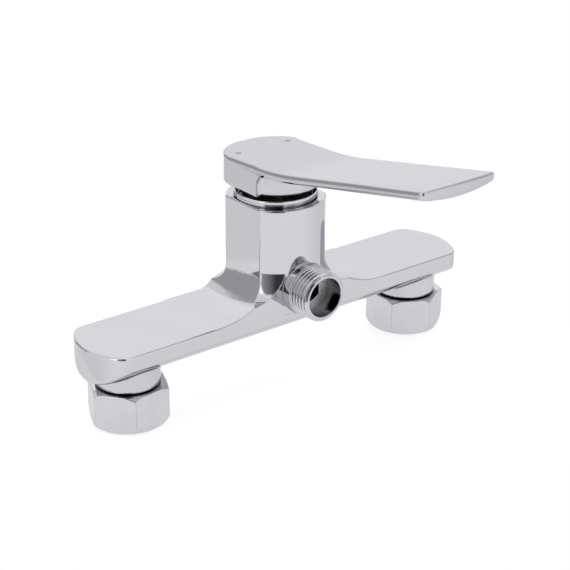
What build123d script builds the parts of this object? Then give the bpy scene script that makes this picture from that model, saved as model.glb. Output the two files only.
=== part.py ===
from build123d import *
import math
import os

# Exposed single-lever shower mixer, in millimetres.
# X runs along the bar, -Y is the way the hose spigot and the lever point, +Z stands away from the wall.
# The origin lies midway between the two inlet axes, in the plane of the union nuts' open ends.

# Inlets and union nuts
inlet_centres = 150.0
nut_flats = 30.0
nut_height = 16.6
nut_wall_top = 4.5
nut_chamfer = 3.8
nut_top_chamfer = 1.2
nut_mouth_r = 13.4
nut_top_r = 15.5
left_nut_turn = 6.6
right_nut_turn = 28.8
nut_thread_minor_r = 12.06
nut_relief = 0.5
nut_relief_lead = 0.5
nut_hole_clearance = 0.4
nut_hole_sink = 1.2
inlet_x = inlet_centres / 2
nut_shoulder_z = nut_height - nut_wall_top
nut_corner_r = nut_flats / 3**0.5

# Inlet nipples, their washers and strainers
nipple_neck_r = 9.9
nipple_bore_r = 5.5
nipple_key_flats = 12.0
nipple_key_depth = 8.0
nipple_flange_r = 11.7
nipple_flange_thick = 2.8
nipple_thread_r = 10.0
nipple_thread_length = 6.6
thread_gap = 0.03
flange_gap = 0.2
washer_thick = 2.0
washer_bore_r = 8.0
washer_rim_clearance = 0.3
strainer_wall = 0.4
strainer_rim = 1.2
strainer_depth = 1.5
seal_ring_section = 1.2
seal_ring_inset = 0.4
nipple_flange_top = nut_shoulder_z - flange_gap
nipple_bottom = nipple_flange_top - nipple_flange_thick
washer_bottom = nipple_bottom - washer_thick
nut_thread_length = washer_bottom - nut_relief_lead
dome_edge = washer_bore_r - strainer_rim
dome_rim_z = nipple_bottom - strainer_wall
dome_r = (dome_edge**2 + strainer_depth**2) / (2 * strainer_depth)
dome_turn = math.degrees(math.asin(dome_edge / dome_r))

# Inlet necks of the casting
neck_r = 13.2
neck_bottom = 16.9
neck_edge = 0.5
neck_fillet = 2.5
nipple_top = neck_bottom + nipple_thread_length

# Bar of the casting
bar_half_width = 18.4
bar_overhang = 19.85
bar_end_r = 26.0
bar_corner_r = 7.0
bar_top = 36.8
bar_band = 6.2
bar_belly = 8.6
bar_top_edge = 0.8
bar_under_edge = 2.0
bar_reach = inlet_x + bar_overhang
band_bottom = bar_top - bar_band
belly_bottom = band_bottom - bar_belly

# Tower of the casting and its flared foot
tower_r = 20.65
tower_half_width = 17.25
tower_top = 79.1
tower_edge = 0.5
foot_height = 12.2
foot_reach = 12.0
foot_front_height = 13.8
foot_front_reach = 27.75
foot_front_pull = 18.0
foot_front_rise = 6.0
foot_back_height = 9.6
foot_back_reach = 9.0
round_pull = 0.5523
foot_lap = 3.0
front_flare_r = 11.0
front_flare_top = 52.0
back_flare_r = 8.0
back_flare_top = 48.0
foot_top = front_flare_top
flare_end = foot_top + foot_lap

# Waterways in the casting
waterway_r = 3.6
waterway_z = 30.0
riser_r = 2.4
riser_x = 8.2
riser_y = -3.2
outlet_z = 43.7
outlet_bore_r = 4.2
outlet_port_y = 4.0
outlet_port_r = 2.2

# Boss and thread of the hose spigot
spigot_thread_r = 10.4775
spigot_length = 9.6
spigot_mouth_r = 8.25
spigot_mouth_depth = 9.0
spigot_key_flats = 8.0
spigot_chamfer = 1.1
spigot_shank_r = 8.6
spigot_socket_wall = 0.75
boss_r = 10.9
boss_reach = 2.35
boss_edge = 0.25
boss_end = tower_r + boss_reach
spigot_end = boss_end + spigot_length

# Cartridge cavity of the tower
cavity_floor = 50.5
cavity_r = 12.8
clamp_thread_r = 14.0
clamp_seat = 73.5
spigot_socket_floor = cavity_r + spigot_socket_wall
spigot_shank_y = -(spigot_socket_floor + seal_ring_section)

# Cartridge
play = 0.05
gasket_thick = 1.2
base_thick = 3.0
base_r = 12.5
disc_r = 10.8
fixed_disc_thick = 2.4
moving_disc_r = 7.6
moving_disc_thick = 2.2
inlet_port_x = 4.4
inlet_port_y = -1.6
inlet_port_r = 1.8
pocket_length = 10.4
pocket_width = 6.4
pocket_corner = 3.0
pocket_depth = 1.2
carrier_thick = 4.2
carrier_mouth = 0.6
guide_x = 5.6
guide_width = 1.4
guide_length = 7.0
guide_height = 1.0
guide_clearance = 0.15
housing_r = 12.6
housing_shoulder_r = 13.7
housing_shoulder = 1.4
housing_neck_r = 10.7
housing_top = 76.5
chamber_r = 11.2
rotor_r = 8.9
rotor_flange_r = 10.6
rotor_flange = 2.0
rotor_top = 75.0
slot_reach = 5.8
slot_side_clearance = 0.3
pivot_z = 68.0
pivot_pin_r = 1.5
pivot_pin_reach = 8.5
lift_range = 25.0
spindle_width = 7.0
spindle_length = 25.6
spindle_skirt = 2.0
spindle_edge = 0.4
spindle_ball_r = 2.0
spindle_arm = 6.2
spindle_waist_r = 1.4
ball_clearance = 0.12
lean = math.radians(lift_range / 2)
ball_y = spindle_arm * math.sin(lean)
gasket_top = cavity_floor + gasket_thick
base_top = gasket_top + base_thick
fixed_disc_top = base_top + fixed_disc_thick
moving_disc_top = fixed_disc_top + play + moving_disc_thick
carrier_top = moving_disc_top + carrier_thick
rotor_bottom = carrier_top + play

# Clamp nut and shroud ring
clamp_bore_r = 11.0
clamp_hex_flats = 24.0
clamp_hex_height = 2.6
shroud_r = 17.25
shroud_height = 2.8
shroud_foot = 0.65
shroud_foot_inset = 1.0
shroud_band = 0.6
shroud_step = 0.35
shroud_groove = 0.35
shroud_edge = 0.5
shroud_top = tower_top + shroud_height
shroud_band_low = tower_top + shroud_foot
shroud_groove_low = shroud_band_low + shroud_band

# Lever
lever_half_width = 18.5
lever_waist = 18.05
lever_tip_half_width = 18.3
lever_waist_y = -62.0
lever_tip = 105.3
lever_tip_bow = 0.8
lever_tip_corner = 2.0
lever_back = 21.6
lever_back_r = 21.0
lever_back_corner = 8.0
lever_kink_y = -23.4
lever_kink_z = 98.0
lever_hub_slope = 0.035
lever_blade_slope = 0.203
lever_bend_r = 140.0
blade_side = 2.9
blade_middle = 5.2
blade_margin = 1.0
hub_bottom = 83.9
hub_shell_top = 95.2
hub_r = lever_half_width
hub_cavity_r = 17.5
hub_cavity_top = 92.4
hub_rim = 2.2
skirt_end_y = -10.4
skirt_arch_r = 5.5
socket_boss_r = 6.6
socket_boss_start = 22.0
socket_wall = 1.5
socket_clearance = 0.1
grub_r = 2.0
grub_length = 8.0
grub_z = 92.6
grub_gap = 0.05
grub_edge = 0.4
grub_key_flats = 2.0
grub_key_depth = 2.5
plug_r = 2.7
plug_length = 2.6
plug_inset = 0.25
plug_edge = 0.4
rib_width = 8.0
rib_drop = 3.2
rib_lap = 1.0
dot_r = 1.1
dot_depth = 0.6
dot_x = 12.8
dot_y = 8.4
dot_z = lever_kink_z - lever_hub_slope * (dot_y - lever_kink_y)
hub_up = (0, lever_hub_slope, 1)
grub_tip_rise = grub_z - grub_r + grub_edge - pivot_z
grub_tip_y = (spindle_width / 2 - grub_tip_rise * math.sin(lean)) / math.cos(lean) + grub_gap

os.makedirs("parts", exist_ok=True)

# Body casting. First the bar: flat on top, with a rounded belly, cut to its outline seen from the front
side_end = bar_reach - bar_end_r + (bar_end_r**2 - bar_half_width**2) ** 0.5
with BuildPart() as bar:
    with BuildSketch(Plane.YZ.offset(-bar_reach)):
        with BuildLine():
            Line((-bar_half_width, band_bottom), (-bar_half_width, bar_top))
            Line((-bar_half_width, bar_top), (bar_half_width, bar_top))
            Line((bar_half_width, bar_top), (bar_half_width, band_bottom))
            ThreePointArc((bar_half_width, band_bottom), (0, belly_bottom), (-bar_half_width, band_bottom))
        make_face()
    extrude(amount=2 * bar_reach)
    with BuildSketch() as bar_outline:
        with BuildLine():
            Line((-side_end, -bar_half_width), (side_end, -bar_half_width))
            ThreePointArc((side_end, -bar_half_width), (bar_reach, 0), (side_end, bar_half_width))
            Line((side_end, bar_half_width), (-side_end, bar_half_width))
            ThreePointArc((-side_end, bar_half_width), (-bar_reach, 0), (-side_end, -bar_half_width))
        make_face()
        fillet(bar_outline.vertices(), radius=bar_corner_r)
    extrude(amount=bar_top, mode=Mode.INTERSECT)
    fillet(bar.faces().sort_by(Axis.Z)[-1].edges(), radius=bar_top_edge)
    fillet(bar.faces().sort_by(Axis.Z)[0].edges(), radius=bar_under_edge)

# The tower's flare: its round front and back widen downward to the bar's long edges
foot_low = bar_top - foot_lap
foot_wide = tower_half_width + foot_front_reach + foot_lap
with BuildPart() as flare:
    flare_forms = ((-180, front_flare_r, front_flare_top), (180, back_flare_r, back_flare_top))
    for turn, flare_r, flare_top in flare_forms:
        flare_low = flare_top - flare_r
        with BuildSketch(Plane.XZ):
            with BuildLine():
                Line((0, foot_low), (foot_wide, foot_low))
                Line((foot_wide, foot_low), (foot_wide, flare_low))
                Line((foot_wide, flare_low), (tower_r + flare_r, flare_low))
                JernArc((tower_r + flare_r, flare_low), (-1, 0), flare_r, -90)
                Line((tower_r, flare_top), (tower_r, flare_end))
                Line((tower_r, flare_end), (0, flare_end))
                Line((0, flare_end), (0, foot_low))
            make_face()
        revolve(axis=Axis.Z, revolution_arc=turn)

# The tower's foot: its flat sides sweep out tightly in the middle and at the back, and widely along the front
front_form = (foot_front_reach, foot_front_pull, foot_front_rise, foot_front_height)
middle_form = (foot_reach, round_pull * foot_reach, round_pull * foot_height, foot_height)
back_form = (foot_back_reach, round_pull * foot_back_reach, round_pull * foot_back_height, foot_back_height)
with BuildPart() as foot:
    foot_forms = ((-bar_half_width, front_form), (0, middle_form), (bar_half_width, back_form))
    for y, (reach, pull, rise, height) in foot_forms:
        foot_end = tower_half_width + reach
        with BuildSketch(Plane.XZ.offset(-y)):
            with BuildLine():
                Line((0, foot_low), (foot_wide, foot_low))
                Line((foot_wide, foot_low), (foot_wide, bar_top))
                Line((foot_wide, bar_top), (foot_end, bar_top))
                Bezier(
                    (foot_end, bar_top),
                    (foot_end - pull, bar_top),
                    (tower_half_width, bar_top + height - rise),
                    (tower_half_width, bar_top + height),
                )
                Line((tower_half_width, bar_top + height), (tower_half_width, foot_top))
                Line((tower_half_width, foot_top), (0, foot_top))
                Line((0, foot_top), (0, foot_low))
            make_face()
    loft()
    mirror(about=Plane.YZ)
    add(flare.part, mode=Mode.INTERSECT)

# The casting whole: bar, foot, tower, spigot boss and inlet necks, with its waterways cut through
boss_plane = Plane((0, -boss_end, outlet_z), x_dir=(1, 0, 0), z_dir=(0, -1, 0))
with BuildPart() as body_casting:
    add(bar.part)
    add(foot.part)
    with BuildSketch(Plane.XY.offset(foot_low)):
        Circle(tower_r)
        Rectangle(2 * tower_half_width, 2 * tower_r, mode=Mode.INTERSECT)
    extrude(amount=tower_top - foot_low)
    fillet(body_casting.faces().sort_by(Axis.Z)[-1].edges(), radius=tower_edge)
    with BuildSketch(boss_plane):
        Circle(boss_r)
    extrude(amount=-boss_end)
    chamfer(body_casting.faces().sort_by(Axis.Y)[0].edges(), length=boss_edge)
    for side in (-1, 1):
        with BuildSketch(Plane((side * inlet_x, 0, neck_bottom))):
            Circle(neck_r)
        extrude(amount=waterway_z - neck_bottom)
        neck_root = body_casting.edges(Select.LAST).filter_by_position(Axis.Z, belly_bottom, band_bottom)
        fillet(neck_root, radius=neck_fillet)
    for neck_end in body_casting.faces().sort_by(Axis.Z)[0:2]:
        chamfer(neck_end.edges(), length=neck_edge)
    # cavity for the cartridge, wider above for the clamp nut's thread
    with BuildSketch(Plane.XY.offset(cavity_floor)):
        Circle(cavity_r)
    extrude(amount=tower_top - cavity_floor, mode=Mode.SUBTRACT)
    with BuildSketch(Plane.XY.offset(clamp_seat - housing_shoulder)):
        Circle(clamp_thread_r)
    extrude(amount=tower_top - clamp_seat + housing_shoulder, mode=Mode.SUBTRACT)
    for side in (-1, 1):
        # socket of the inlet nipple, and the drilling from it up to the waterway
        with BuildSketch(Plane((side * inlet_x, 0, neck_bottom))):
            Circle(nipple_thread_r + thread_gap)
        extrude(amount=nipple_thread_length + seal_ring_section, mode=Mode.SUBTRACT)
        with BuildSketch(Plane((side * inlet_x, 0, neck_bottom))):
            Circle(nipple_bore_r)
        extrude(amount=waterway_z - neck_bottom, mode=Mode.SUBTRACT)
        # hot or cold waterway along the bar, and its riser into the cavity
        with BuildSketch(Plane((side * inlet_x, 0, waterway_z), x_dir=(0, 1, 0), z_dir=(-side, 0, 0))):
            Circle(waterway_r)
        extrude(amount=inlet_x - riser_x, mode=Mode.SUBTRACT)
        with BuildSketch(Plane((side * riser_x, riser_y, waterway_z))):
            Circle(riser_r)
        extrude(amount=cavity_floor - waterway_z, mode=Mode.SUBTRACT)
    # outlet: down from the cavity, then forward to the spigot's socket
    with BuildSketch(Plane((0, outlet_port_y, outlet_z))):
        Circle(outlet_port_r)
    extrude(amount=cavity_floor - outlet_z, mode=Mode.SUBTRACT)
    with BuildSketch(boss_plane):
        Circle(outlet_bore_r)
    extrude(amount=-(boss_end + outlet_port_y), mode=Mode.SUBTRACT)
    with BuildSketch(boss_plane):
        Circle(spigot_shank_r + thread_gap)
    extrude(amount=spigot_socket_floor - boss_end, mode=Mode.SUBTRACT)
body_casting.part.label = "body_casting"
export_step(body_casting.part, "parts/body_casting.step")

# Union nuts: hexagons turned at both ends, threaded from below, with a hole for the nipple's neck
nut_forms = (("union_nut_left", -inlet_x, left_nut_turn), ("union_nut_right", inlet_x, right_nut_turn))
for name, x, turn in nut_forms:
    with BuildPart() as union_nut:
        with BuildSketch(Plane((x, 0, 0))):
            RegularPolygon(nut_corner_r, 6, rotation=turn)
        extrude(amount=nut_height)
        with BuildSketch(Plane((x, 0, 0), x_dir=(1, 0, 0), z_dir=(0, -1, 0))):
            with BuildLine():
                Line((0, 0), (nut_mouth_r, 0))
                Spline((nut_mouth_r, 0), (nut_corner_r, nut_chamfer), tangents=((1, 0.15), (0.25, 1)))
                Line((nut_corner_r, nut_chamfer), (nut_corner_r, nut_height - nut_top_chamfer))
                Line((nut_corner_r, nut_height - nut_top_chamfer), (nut_top_r, nut_height))
                Line((nut_top_r, nut_height), (0, nut_height))
                Line((0, nut_height), (0, 0))
            make_face()
        revolve(axis=Axis((x, 0, 0), (0, 0, 1)), mode=Mode.INTERSECT)
        with BuildSketch(Plane((x, 0, 0))):
            Circle(nut_thread_minor_r)
        extrude(amount=nut_shoulder_z, mode=Mode.SUBTRACT)
        # relief behind the thread, where the washer and the nipple's flange lie
        with BuildSketch(Plane((x, 0, nut_thread_length))):
            Circle(nut_thread_minor_r + nut_relief)
        extrude(amount=nut_shoulder_z - nut_thread_length, mode=Mode.SUBTRACT)
        with BuildSketch(Plane((x, 0, 0))):
            Circle(nipple_neck_r + nut_hole_clearance)
        extrude(amount=nut_height, mode=Mode.SUBTRACT)
        chamfer(union_nut.faces().sort_by(Axis.Z)[-1].inner_wires()[0].edges(), length=nut_hole_sink)
    union_nut.part.label = name
    export_step(union_nut.part, f"parts/{name}.step")

# Inlet nipples with their washers, strainers and seal rings
for name, x in (("left", -inlet_x), ("right", inlet_x)):
    inlet_axis = Axis((x, 0, 0), (0, 0, 1))
    inlet_section = Plane((x, 0, 0), x_dir=(1, 0, 0), z_dir=(0, -1, 0))
    with BuildPart() as inlet_nipple:
        with BuildSketch(inlet_section):
            with BuildLine():
                Polyline(
                    (nipple_bore_r, nipple_bottom),
                    (nipple_flange_r, nipple_bottom),
                    (nipple_flange_r, nipple_flange_top),
                    (nipple_neck_r, nipple_flange_top),
                    (nipple_neck_r, neck_bottom),
                    (nipple_thread_r, neck_bottom),
                    (nipple_thread_r, nipple_top),
                    (nipple_bore_r, nipple_top),
                    close=True,
                )
            make_face()
        revolve(axis=inlet_axis)
        # hexagon for an inside key
        with BuildSketch(Plane((x, 0, nipple_bottom))):
            RegularPolygon(nipple_key_flats / 3**0.5, 6)
        extrude(amount=nipple_key_depth, mode=Mode.SUBTRACT)
    inlet_nipple.part.label = f"inlet_nipple_{name}"
    export_step(inlet_nipple.part, f"parts/inlet_nipple_{name}.step")

    with BuildPart() as inlet_washer:
        with BuildSketch(Plane((x, 0, washer_bottom))):
            Circle(nut_thread_minor_r - washer_rim_clearance)
            Circle(washer_bore_r, mode=Mode.SUBTRACT)
        extrude(amount=washer_thick)
    inlet_washer.part.label = f"inlet_washer_{name}"
    export_step(inlet_washer.part, f"parts/inlet_washer_{name}.step")

    # strainer: a thin dome that bulges toward the supply, with a flat rim held in the washer
    with BuildPart() as inlet_strainer:
        with BuildSketch(inlet_section):
            with BuildLine():
                JernArc((0, dome_rim_z - strainer_depth), (1, 0), dome_r, dome_turn)
                Line((dome_edge, dome_rim_z), (washer_bore_r, dome_rim_z))
                Line((washer_bore_r, dome_rim_z), (washer_bore_r, nipple_bottom))
                Line((washer_bore_r, nipple_bottom), (dome_edge, nipple_bottom))
                JernArc((0, nipple_bottom - strainer_depth), (1, 0), dome_r, dome_turn)
                Line((0, nipple_bottom - strainer_depth), (0, dome_rim_z - strainer_depth))
            make_face()
        revolve(axis=inlet_axis)
    inlet_strainer.part.label = f"inlet_strainer_{name}"
    export_step(inlet_strainer.part, f"parts/inlet_strainer_{name}.step")

    with BuildPart() as nipple_seal:
        with BuildSketch(Plane((x, 0, nipple_top))):
            Circle(nipple_thread_r - seal_ring_inset)
            Circle(nipple_bore_r + seal_ring_inset, mode=Mode.SUBTRACT)
        extrude(amount=seal_ring_section)
    nipple_seal.part.label = f"nipple_seal_{name}"
    export_step(nipple_seal.part, f"parts/nipple_seal_{name}.step")

# Hose spigot: a threaded tube screwed into the boss, its mouth stepped down to a hexagon for an inside key
with BuildPart() as hose_spigot:
    with BuildSketch(Plane.XY.offset(outlet_z)):
        with BuildLine():
            Polyline(
                (0, spigot_shank_y),
                (spigot_shank_r, spigot_shank_y),
                (spigot_shank_r, -boss_end),
                (spigot_thread_r, -boss_end),
                (spigot_thread_r, spigot_chamfer - spigot_end),
                (spigot_thread_r - spigot_chamfer, -spigot_end),
                (spigot_mouth_r, -spigot_end),
                (spigot_mouth_r, spigot_mouth_depth - spigot_end),
                (0, spigot_mouth_depth - spigot_end),
                close=True,
            )
        make_face()
    revolve(axis=Axis((0, 0, outlet_z), (0, 1, 0)))
    with BuildSketch(Plane((0, -spigot_end, outlet_z), x_dir=(1, 0, 0), z_dir=(0, -1, 0))):
        RegularPolygon(spigot_key_flats / 3**0.5, 6)
    extrude(amount=-spigot_end, mode=Mode.SUBTRACT)
hose_spigot.part.label = "hose_spigot"
export_step(hose_spigot.part, "parts/hose_spigot.step")

with BuildPart() as spigot_seal:
    with BuildSketch(Plane((0, spigot_shank_y, outlet_z), x_dir=(1, 0, 0), z_dir=(0, 1, 0))):
        Circle(spigot_shank_r - seal_ring_inset)
        Circle(outlet_bore_r + seal_ring_inset, mode=Mode.SUBTRACT)
    extrude(amount=seal_ring_section)
spigot_seal.part.label = "spigot_seal"
export_step(spigot_seal.part, "parts/spigot_seal.step")

# Cartridge gasket: one pad with a hole at each of the casting's three ports
with BuildPart() as cartridge_gasket:
    with BuildSketch(Plane.XY.offset(cavity_floor)):
        Circle(base_r)
        with Locations((-riser_x, riser_y), (riser_x, riser_y)):
            Circle(riser_r, mode=Mode.SUBTRACT)
        with Locations((0, outlet_port_y)):
            Circle(outlet_port_r, mode=Mode.SUBTRACT)
    extrude(amount=gasket_thick)
cartridge_gasket.part.label = "cartridge_gasket"
export_step(cartridge_gasket.part, "parts/cartridge_gasket.step")

# Cartridge base: slots carry the water inward from the risers to the discs' ports
riser_turn = math.degrees(math.atan2(inlet_port_y - riser_y, riser_x - inlet_port_x))
riser_slot = math.hypot(riser_x - inlet_port_x, inlet_port_y - riser_y)
with BuildPart() as cartridge_base:
    with BuildSketch(Plane.XY.offset(gasket_top)):
        Circle(base_r)
        with Locations((0, outlet_port_y)):
            Circle(outlet_port_r, mode=Mode.SUBTRACT)
    extrude(amount=base_thick)
    for side in (-1, 1):
        middle = (side * (riser_x + inlet_port_x) / 2, (riser_y + inlet_port_y) / 2)
        with BuildSketch(Plane.XY.offset(gasket_top)):
            with Locations(middle):
                SlotCenterToCenter(riser_slot, 2 * inlet_port_r, rotation=-side * riser_turn)
        extrude(amount=base_thick, mode=Mode.SUBTRACT)
cartridge_base.part.label = "cartridge_base"
export_step(cartridge_base.part, "parts/cartridge_base.step")

# Ceramic discs: the lower one is fixed, the upper one has a pocket that joins the ports as it slides
with BuildPart() as fixed_disc:
    with BuildSketch(Plane.XY.offset(base_top)):
        Circle(disc_r)
        with Locations((-inlet_port_x, inlet_port_y), (inlet_port_x, inlet_port_y)):
            Circle(inlet_port_r, mode=Mode.SUBTRACT)
        with Locations((0, outlet_port_y)):
            Circle(outlet_port_r, mode=Mode.SUBTRACT)
    extrude(amount=fixed_disc_thick)
fixed_disc.part.label = "fixed_disc"
export_step(fixed_disc.part, "parts/fixed_disc.step")

with BuildPart() as moving_disc:
    with BuildSketch(Plane((0, ball_y, fixed_disc_top + play))):
        Circle(moving_disc_r)
    extrude(amount=moving_disc_thick)
    with BuildSketch(Plane((0, outlet_port_y, fixed_disc_top + play))):
        RectangleRounded(pocket_length, pocket_width, pocket_corner)
    extrude(amount=pocket_depth, mode=Mode.SUBTRACT)
moving_disc.part.label = "moving_disc"
export_step(moving_disc.part, "parts/moving_disc.step")

# Disc carrier: the spindle's ball moves it, and two ribs guide it along the rotor
with BuildPart() as disc_carrier:
    with BuildSketch(Plane((0, ball_y, moving_disc_top))):
        Circle(moving_disc_r)
    extrude(amount=carrier_thick)
    with BuildSketch(Plane((0, ball_y, carrier_top))):
        with Locations((-guide_x, 0), (guide_x, 0)):
            Rectangle(guide_width, guide_length)
    extrude(amount=guide_height)
    with BuildSketch(Plane((0, ball_y, moving_disc_top))):
        Circle(spindle_ball_r + ball_clearance)
    extrude(amount=carrier_thick, mode=Mode.SUBTRACT)
    ball_hole = disc_carrier.edges().filter_by(GeomType.CIRCLE).group_by(SortBy.RADIUS)[0]
    chamfer(ball_hole.sort_by(Axis.Z)[-1], length=carrier_mouth)
disc_carrier.part.label = "disc_carrier"
export_step(disc_carrier.part, "parts/disc_carrier.step")

# Cartridge housing: chamber for the discs, a bearing bore for the rotor and a shoulder for the clamp nut
with BuildPart() as cartridge_housing:
    with BuildSketch(Plane.XZ):
        with BuildLine():
            Polyline(
                (chamber_r, base_top),
                (housing_r, base_top),
                (housing_r, clamp_seat - housing_shoulder),
                (housing_shoulder_r, clamp_seat - housing_shoulder),
                (housing_shoulder_r, clamp_seat),
                (housing_neck_r, clamp_seat),
                (housing_neck_r, housing_top),
                (rotor_r + play, housing_top),
                (rotor_r + play, rotor_bottom + rotor_flange + play),
                (chamber_r, rotor_bottom + rotor_flange + play),
                close=True,
            )
        make_face()
    revolve(axis=Axis.Z)
cartridge_housing.part.label = "cartridge_housing"
export_step(cartridge_housing.part, "parts/cartridge_housing.step")

# Rotor: turns in the housing, slotted for the spindle, drilled for its pivot pin, grooved for the carrier
with BuildPart() as rotor:
    with BuildSketch(Plane.XY.offset(rotor_bottom)):
        Circle(rotor_r)
    extrude(amount=rotor_top - rotor_bottom)
    with BuildSketch(Plane.XY.offset(rotor_bottom)):
        Circle(rotor_flange_r)
    extrude(amount=rotor_flange)
    with BuildSketch(Plane.XY.offset(rotor_bottom)):
        Rectangle(spindle_width + 2 * slot_side_clearance, 2 * slot_reach)
    extrude(amount=rotor_top - rotor_bottom, mode=Mode.SUBTRACT)
    with BuildSketch(Plane.XY.offset(rotor_bottom)):
        with Locations((-guide_x, 0), (guide_x, 0)):
            Rectangle(guide_width + 2 * guide_clearance, 2 * rotor_flange_r)
    extrude(amount=guide_height + guide_clearance, mode=Mode.SUBTRACT)
    with BuildSketch(Plane((-rotor_r, 0, pivot_z), x_dir=(0, 1, 0), z_dir=(1, 0, 0))):
        Circle(pivot_pin_r + play)
    extrude(amount=2 * rotor_r, mode=Mode.SUBTRACT)
rotor.part.label = "rotor"
export_step(rotor.part, "parts/rotor.step")

with BuildPart() as pivot_pin:
    with BuildSketch(Plane((-pivot_pin_reach, 0, pivot_z), x_dir=(0, 1, 0), z_dir=(1, 0, 0))):
        Circle(pivot_pin_r)
    extrude(amount=2 * pivot_pin_reach)
pivot_pin.part.label = "pivot_pin"
export_step(pivot_pin.part, "parts/pivot_pin.step")

# Spindle: a square bar that rocks on the pin, with a ball at its foot, leaning toward the blade when closed
lean_plane = Plane((0, 0, pivot_z), x_dir=(1, 0, 0), z_dir=(0, -math.sin(lean), math.cos(lean)))
with BuildPart() as spindle:
    with BuildSketch(lean_plane.offset(-spindle_skirt)):
        Rectangle(spindle_width, spindle_width)
    extrude(amount=spindle_skirt + spindle_length)
    chamfer(spindle.faces().sort_by(Axis.Z)[-1].edges(), length=spindle_edge)
    with BuildSketch(lean_plane.offset(-spindle_arm)):
        Circle(spindle_waist_r)
    extrude(amount=spindle_arm)
    with Locations(lean_plane.offset(-spindle_arm)):
        Sphere(spindle_ball_r)
    with BuildSketch(Plane((-spindle_width, 0, pivot_z), x_dir=(0, 1, 0), z_dir=(1, 0, 0))):
        Circle(pivot_pin_r + play)
    extrude(amount=2 * spindle_width, mode=Mode.SUBTRACT)
spindle.part.label = "spindle"
export_step(spindle.part, "parts/spindle.step")

# Clamp nut: its thread holds the cartridge down, and its hexagon hides inside the lever's hub
with BuildPart() as clamp_nut:
    with BuildSketch(Plane.XY.offset(clamp_seat)):
        Circle(clamp_thread_r - thread_gap)
    extrude(amount=shroud_top - clamp_seat)
    with BuildSketch(Plane.XY.offset(shroud_top)):
        RegularPolygon(clamp_hex_flats / 3**0.5, 6)
    extrude(amount=clamp_hex_height)
    with BuildSketch(Plane.XY.offset(clamp_seat)):
        Circle(clamp_bore_r)
    extrude(amount=shroud_top + clamp_hex_height - clamp_seat, mode=Mode.SUBTRACT)
clamp_nut.part.label = "clamp_nut"
export_step(clamp_nut.part, "parts/clamp_nut.step")

# Shroud ring on the tower's top: a narrow foot, then two bands with a groove between them
with BuildPart() as shroud_ring:
    with BuildSketch(Plane.XZ):
        with BuildLine():
            Polyline(
                (clamp_thread_r + thread_gap, tower_top),
                (shroud_r - shroud_foot_inset, tower_top),
                (shroud_r - shroud_foot_inset, shroud_band_low),
                (shroud_r, shroud_band_low),
                (shroud_r, shroud_groove_low),
                (shroud_r - shroud_step, shroud_groove_low),
                (shroud_r - shroud_step, shroud_groove_low + shroud_groove),
                (shroud_r, shroud_groove_low + shroud_groove),
                (shroud_r, shroud_top),
                (clamp_thread_r + thread_gap, shroud_top),
                close=True,
            )
        make_face()
    revolve(axis=Axis.Z)
    fillet(shroud_ring.faces().sort_by(Axis.Z)[-1].outer_wire().edges(), radius=shroud_edge)
shroud_ring.part.label = "shroud_ring"
export_step(shroud_ring.part, "parts/shroud_ring.step")

# Lever outline seen from the front: a long slightly waisted blade with a squarish rounded back
lever_back_centre = lever_back - lever_back_r
lever_back_side = lever_back_centre + (lever_back_r**2 - lever_half_width**2) ** 0.5
tip_side = -lever_tip + lever_tip_bow
with BuildSketch() as lever_outline:
    with BuildLine():
        ThreePointArc(
            (lever_tip_half_width, tip_side),
            (lever_waist, lever_waist_y),
            (lever_half_width, skirt_end_y),
        )
        Line((lever_half_width, skirt_end_y), (lever_half_width, lever_back_side))
        ThreePointArc(
            (lever_half_width, lever_back_side),
            (0, lever_back),
            (-lever_half_width, lever_back_side),
        )
        Line((-lever_half_width, lever_back_side), (-lever_half_width, skirt_end_y))
        ThreePointArc(
            (-lever_half_width, skirt_end_y),
            (-lever_waist, lever_waist_y),
            (-lever_tip_half_width, tip_side),
        )
        ThreePointArc((-lever_tip_half_width, tip_side), (0, -lever_tip), (lever_tip_half_width, tip_side))
    make_face()
    fillet(lever_outline.vertices().group_by(Axis.Y)[0], radius=lever_tip_corner)
    fillet(lever_outline.vertices().group_by(Axis.Y)[-1], radius=lever_back_corner)

# Hub: a skirt round the back and sides, a drum under the blade, and an arch where the skirt ends
arch_z = lever_kink_z - blade_side
with BuildPart() as hub:
    with BuildSketch(Plane.XY.offset(hub_bottom)):
        add(lever_outline.sketch)
        with Locations((0, skirt_end_y)):
            Rectangle(3 * hub_r, 3 * hub_r, align=(Align.CENTER, Align.MIN), mode=Mode.INTERSECT)
        Circle(hub_r)
    extrude(amount=hub_shell_top - hub_bottom)
    fillet(hub.faces().sort_by(Axis.Z)[0].edges(), radius=hub_rim)
    with BuildSketch(Plane.YZ.offset(-hub_r)):
        with BuildLine():
            JernArc((skirt_end_y, arch_z - skirt_arch_r), (0, 1), skirt_arch_r, 90)
            Line((skirt_end_y - skirt_arch_r, arch_z), (0, arch_z))
            Line((0, arch_z), (0, arch_z - skirt_arch_r))
            Line((0, arch_z - skirt_arch_r), (skirt_end_y, arch_z - skirt_arch_r))
        make_face()
    extrude(amount=2 * hub_r)
    # open below
    with BuildSketch(Plane.XY.offset(hub_bottom)):
        Circle(hub_cavity_r)
    extrude(amount=hub_cavity_top - hub_bottom, mode=Mode.SUBTRACT)

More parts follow.
